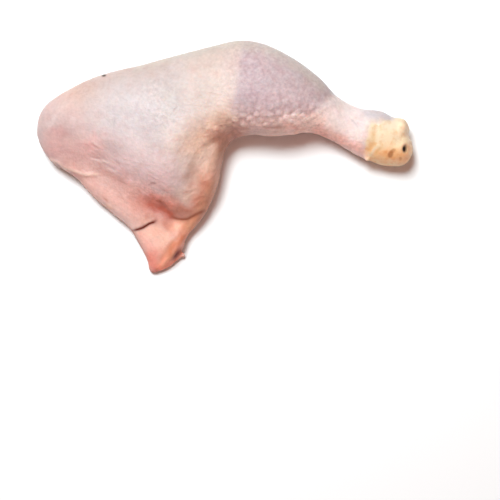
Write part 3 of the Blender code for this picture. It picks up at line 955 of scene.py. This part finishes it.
    def find_sides(self) -> None:
        """Finds how much each point belongs to each side of the leg."""
        up = self.normals[:, 2]
        outline = self.points[np.abs(up) < self.outline_slope]
        tree = kdtree.KDTree(len(outline))
        for place, (x, y, _) in enumerate(outline):
            tree.insert((x, y, 0), place)
        tree.balance()
        inset = np.array([tree.find((x, y, 0))[2] for x, y, _ in self.points])
        ragged = RIM_WAVES.at(self.points) + RIM_NOTCHES.at(self.points)
        past_rim = smooth_step((inset - self.rim_width - ragged) / self.rim_blend)
        on_thigh = inside_outline(self.plan, FLESH_AREA, self.flesh_edge)
        above = smooth_step((up - self.under_slope) / self.slope_blend)
        low = smooth_step((self.wall_height - self.points[:, 2]) / self.wall_blend)
        tilted = smooth_step((np.abs(up) - self.wall_slope) / self.slope_blend)
        self.sides = {
            Side.SKIN: above,
            Side.UNDER: (1 - above) * (1 - on_thigh),
            Side.FLESH: (1 - above) * past_rim * on_thigh,
            Side.WALL: (1 - tilted) * low,
        }

    def find_follicles(self) -> None:
        """Scatters follicles over the skin, never closer than their spacing, and finds how far
        up a follicle's mound each point is, from 0 to its own height."""
        draw = random.Random(self.follicle_seed)
        order = list(range(len(self.points)))
        draw.shuffle(order)
        cell = self.follicle_spacing
        reach = [(i, j, k) for i in (-1, 0, 1) for j in (-1, 0, 1) for k in (-1, 0, 1)]
        taken: dict[tuple[int, int, int], list[Vector]] = {}
        tips = []
        for index in order:
            tip = Vector(self.points[index])
            spot = tuple(int(math.floor(c / cell)) for c in tip)
            gap = cell * draw.uniform(self.follicle_crowding, 1.0)
            near = (
                other
                for i, j, k in reach
                for other in taken.get((spot[0] + i, spot[1] + j, spot[2] + k), ())
            )
            if all((other - tip).length > gap for other in near):
                taken.setdefault(spot, []).append(tip)
                tips.append(tip)
        heights = np.array([draw.uniform(self.lowest_follicle, 1.0) for _ in tips])
        tree = kdtree.KDTree(len(tips))
        for place, tip in enumerate(tips):
            tree.insert(tip, place)
        tree.balance()
        found = [tree.find(place) for place in map(Vector, self.points)]
        distance = np.array([hit[2] for hit in found]) + BUMP_OUTLINE.at(self.points)
        mound = smooth_step((self.follicle_radius - distance) / self.follicle_slope)
        self.bumps = mound * heights[[hit[1] for hit in found]]
        LOG.info("%d follicles", len(tips))

    def raise_relief(self, leg: bpy.types.Object) -> None:
        """Moves the points out or in for every fold, dent, wrinkle and goose bump.

        Args:
            leg: The refined leg.
        """
        lift = SWELLS.at(self.points) + SMALL_SWELLS.at(self.points)
        lift += PORES.at(self.points) * self.sides[Side.SKIN]
        for zone in ZONES:
            if zone.lift:
                lift += zone.lift * self.zone_mask(zone)
        for crease in CREASES:
            lift += self.crease_lift(crease) * self.sides[crease.side]
        for dent in DENTS:
            lift -= dent.depth * self.dent_mask(dent)
        for wrinkles in WRINKLES:
            lift += self.wrinkle_lift(wrinkles) * self.sides[wrinkles.side]
        for zone in GOOSE_BUMPS:
            mask = near_line(self.plan, zone.path, zone.reach) * self.sides[Side.SKIN]
            lift += zone.height * self.bumps * mask
        crags = near_line(self.plan, CRAG_LINE, CRAG_REACH) * self.sides[Side.FLESH]
        lift += crags * (CRAGS.at(self.points) - CRAG_DROP)
        lift += self.plump * (1 - np.abs(self.normals[:, 2]))
        moved = self.points + self.normals * lift[:, None]
        moved[:, 2] = np.clip(moved[:, 2], self.table_gap, None)
        leg.data.vertices.foreach_set("co", (moved * MM).ravel())
        leg.data.update()

    def zone_mask(self, zone: Zone) -> np.ndarray:
        """How much each point belongs to a zone."""
        return inside_outline(self.plan, zone.outline, zone.edge) * self.sides[Side.SKIN]

    def crease_lift(self, crease: Crease) -> np.ndarray:
        """How far a crease moves each point out."""
        distance, side, from_end = along_line(self.plan, crease.path)
        fade = tapered(from_end, crease.width, crease.path)
        if crease.form is Form.LIP:
            upper = smooth_step((side * distance - self.lip_start) / self.lip_climb)
            upper *= np.exp(-distance / crease.width)
            foot = self.lip_groove * np.exp(-((distance / self.lip_groove_width) ** 2))
            return crease.height * fade * (upper - foot)
        out = 1 if crease.form is Form.RIDGE else -1
        return out * crease.height * fade * np.exp(-((distance / crease.width) ** 2))

    def dent_mask(self, dent: Dent) -> np.ndarray:
        """1 in the middle of a dent, 0 outside it."""
        turn = math.radians(dent.turn)
        flat = self.points[:, :2]
        offset = flat + self.dent_wobble * (self.plan - flat) - np.array(dent.place)
        across = offset[:, 0] * math.cos(turn) + offset[:, 1] * math.sin(turn)
        along = offset[:, 1] * math.cos(turn) - offset[:, 0] * math.sin(turn)
        radius = np.hypot(across / dent.radii[0], along / dent.radii[1])
        return (1 - smooth_step((radius - self.dent_floor) / self.dent_wall)) * self.sides[dent.side]

    def wrinkle_lift(self, zone: Wrinkles) -> np.ndarray:
        """How far a zone's fine wrinkles move each point out."""
        mask = near_line(self.plan, zone.path, zone.reach)
        chosen = np.nonzero(mask > self.faintest_wrinkle)[0]
        turn = math.radians(zone.heading)
        x, y = self.plan[chosen].T
        along = (x * math.cos(turn) + y * math.sin(turn)) / (zone.spacing * zone.stretch)
        across = (y * math.cos(turn) - x * math.sin(turn)) / zone.spacing
        flat = np.column_stack([along, across, np.full(len(chosen), zone.heading)])
        folds = 1 - self.wrinkle_sharpness * np.abs(ripple(flat, 1.0, self.wrinkle_seed))
        lift = np.zeros(len(self.plan))
        lift[chosen] = zone.height * mask[chosen] * folds
        return lift

    def paint(self, leg: bpy.types.Object) -> None:
        """Stores each point's tint on the mesh. The tints are as seen under bright light, so
        the tissue's own colour is a share of them. Some patches, creases and dents, the goose bumps'
        tips and feet, and the shading factors also hold painted light and shade.

        Args:
            leg: The leg with its relief.
        """
        tint = np.tile(linear(SKIN_BASE), (len(self.plan), 1))
        tint = self.blend(tint, FLESH_BASE, self.sides[Side.FLESH])
        tint = self.blend(tint, WALL_BASE, self.wall_share * self.sides[Side.WALL])
        for zone in ZONES:
            tint = self.blend(tint, zone.tint, self.zone_mask(zone) * zone.share)
        loose = self.plan + self.patch_wobble * (self.plan - self.points[:, :2])
        for patch in PATCHES:
            mask = near_line(loose, patch.path, patch.reach) * patch.share
            tint = self.blend(tint, patch.tint, mask * self.sides[patch.side])
        # Painted light and shade: each factor lightens or darkens the tint round its line.
        for shading in PAINTED_SHADING:
            mask = near_line(loose, shading.path, shading.reach) * self.sides[Side.SKIN]
            tint *= 1 + (shading.factor - 1) * mask[:, None]
        # Goose bumps: pale tips are partly painted light, and dark feet partly painted shade between
        # them.
        for zone in GOOSE_BUMPS:
            mask = near_line(self.plan, zone.path, zone.reach) * zone.tint_share
            mask *= self.sides[Side.SKIN]
            tint = self.blend(tint, LIT_PALE_BUMP_TIP, self.lit_tip_share * mask * self.bumps)
            tint = self.blend(tint, SHADED_BUMP_FOOT, mask * (1 - self.bumps) ** self.shaded_foot_power)
        for crease in CREASES:
            distance, _, from_end = along_line(self.plan, crease.path)
            mask = np.exp(-((distance / crease.tint_width) ** 2)) * crease.share
            mask *= tapered(from_end, crease.tint_width, crease.path) * self.sides[crease.side]
            tint = self.blend(tint, crease.tint, mask)
        for dent in DENTS:
            tint = self.blend(tint, dent.tint, self.dent_mask(dent) * dent.share)
        grain = np.full(len(self.plan), SPECKLING_BASE)
        for zone in SPECKLING:
            grain += zone.strength * near_line(self.plan, zone.path, zone.reach)
        leg.data.attributes.new("grain", "FLOAT", "POINT").data.foreach_set("value", grain)
        tint *= self.tint_share / np.maximum(tint.max(axis=1, keepdims=True), 1)
        stored = leg.data.color_attributes.new("tint", "FLOAT_COLOR", "POINT")
        stored.data.foreach_set("color", np.column_stack([tint, np.ones(len(tint))]).ravel())

    @staticmethod
    def blend(tint: np.ndarray, colour: str, share: np.ndarray) -> np.ndarray:
        """Mixes a colour into each point's tint by its share."""
        share = np.clip(share, 0, 1)[:, None]
        return tint * (1 - share) + np.array(linear(colour)) * share

    def dress(self, leg: bpy.types.Object) -> None:
        """Gives each face its finish and tells the frame what the leg stands for.

        Args:
            leg: The painted leg.
        """
        for finish in (RAW_SKIN, RAW_MEAT, HOCK_SKIN):
            leg.data.materials.append(finish.material())
        flesh = self.sides[Side.FLESH] > 0.5
        hock = (self.points[:, 0] > self.hock_from) * self.sides[Side.UNDER]
        hock = self.zone_mask(HOCK_CAP) + hock > 0.5
        kinds = np.where(flesh, 1, np.where(hock, 2, 0))
        for polygon in leg.data.polygons:
            polygon.material_index = int(kinds[polygon.vertices[0]])
        bpy.ops.object.shade_smooth()
        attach(leg, "root")
        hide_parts(self.node)
        LOG.info("leg dressed")


@dataclass(frozen=True)
class Lamp:
    """A square lamp: its colour, its power in watts and its side in millimetres."""

    name: str
    colour: str
    power: float
    size: float


@dataclass
class Studio:
    """A plain white table, soft light from the upper left, a weak low lamp for the sides that
    face away from it, a warm fill that keeps the shadows from going grey, and a camera straight
    above."""

    leg_centre: tuple[float, float] = (0.0, 0.0)
    view_centre: tuple[float, float] = (18.35, -65.6)
    view_width: float = 355.0
    view_height: float = 15.0
    lens: float = 100.0
    sensor: float = 36.0
    table_size: float = 4000.0
    table_drop: float = 0.2
    table_colour: str = "#F9F9F9"
    key_colour: str = "#F0FCFF"
    fill_colour: str = "#FFC6B4"
    key_power: float = 37.5
    key_size: float = 700.0
    key_place: tuple[float, float, float] = (-370.0, 730.0, 1400.0)
    side_colour: str = "#FFD2C4"
    side_power: float = 3.6
    side_size: float = 280.0
    side_place: tuple[float, float, float] = (900.0, -1150.0, 150.0)
    top_power: float = 3.4
    top_size: float = 1300.0
    top_height: float = 1300.0
    world_strength: float = 0.09

    def build(self) -> None:
        """Builds the table, the lights, the world and the camera."""
        self.table()
        key = Lamp("key", self.key_colour, self.key_power, self.key_size)
        self.light(key, self.key_place, self.leg_centre)
        side = Lamp("side", self.side_colour, self.side_power, self.side_size)
        self.light(side, self.side_place, self.leg_centre)
        top = Lamp("top", self.fill_colour, self.top_power, self.top_size)
        self.light(top, (*self.view_centre, self.top_height), self.view_centre)
        self.world()
        self.camera()

    def table(self) -> None:
        """A wide white table top."""
        bpy.ops.object.select_all(action="DESELECT")
        bpy.ops.mesh.primitive_plane_add(size=self.table_size * MM)
        table = bpy.context.object
        table.name = "table"
        table.location.z = -self.table_drop * MM
        nodes = NodeTree("white painted board")
        shader = nodes.add(
            "ShaderNodeBsdfPrincipled",
            {"Base Color": (*linear(self.table_colour), 1.0), "Roughness": 0.8,
             "Specular IOR Level": 0.1},
        )
        nodes.add("ShaderNodeOutputMaterial", {"Surface": shader.outputs["BSDF"]})
        table.data.materials.append(nodes.material)

    def light(
        self, lamp: Lamp, place: tuple[float, float, float], aim: tuple[float, float]
    ) -> None:
        """Adds one square lamp that faces a spot on the table.

        Args:
            lamp: What it is like.
            place: Where it is, in millimetres.
            aim: The spot that it faces, in millimetres.
        """
        data = bpy.data.lights.new(lamp.name, "AREA")
        data.color = linear(lamp.colour)
        data.energy = lamp.power
        data.size = lamp.size * MM
        made = bpy.data.objects.new(lamp.name, data)
        made.location = Vector(place) * MM
        beam = Vector((*aim, 0.0)) * MM - made.location
        made.rotation_euler = beam.to_track_quat("-Z", "Y").to_euler()
        bpy.context.scene.collection.objects.link(made)

    def world(self) -> None:
        """An even warm surround that fills the shadows."""
        world = bpy.data.worlds.new("studio")
        world.use_nodes = True
        background = world.node_tree.nodes["Background"]
        background.inputs["Color"].default_value = (*linear(self.fill_colour), 1.0)
        background.inputs["Strength"].default_value = self.world_strength
        bpy.context.scene.world = world
        bpy.context.scene.view_settings.view_transform = "Standard"

    def camera(self) -> None:
        """A long lens straight above the table, as far off as the picture's width needs."""
        data = bpy.data.cameras.new("camera")
        data.lens = self.lens
        data.sensor_width = self.sensor
        distance = self.view_width * self.lens / self.sensor
        camera = bpy.data.objects.new("camera", data)
        x, y = self.view_centre
        camera.location = Vector((x, y, self.view_height + distance)) * MM
        bpy.context.scene.collection.objects.link(camera)
        bpy.context.scene.camera = camera


def main() -> None:
    """Builds the leg and the studio."""
    logging.basicConfig(level=logging.INFO, format="%(name)s: %(message)s")
    for part in (ChickenLeg(), Studio()):
        part.build()
        LOG.info("built %s", type(part).__name__)


if __name__ == "__main__":
    main()
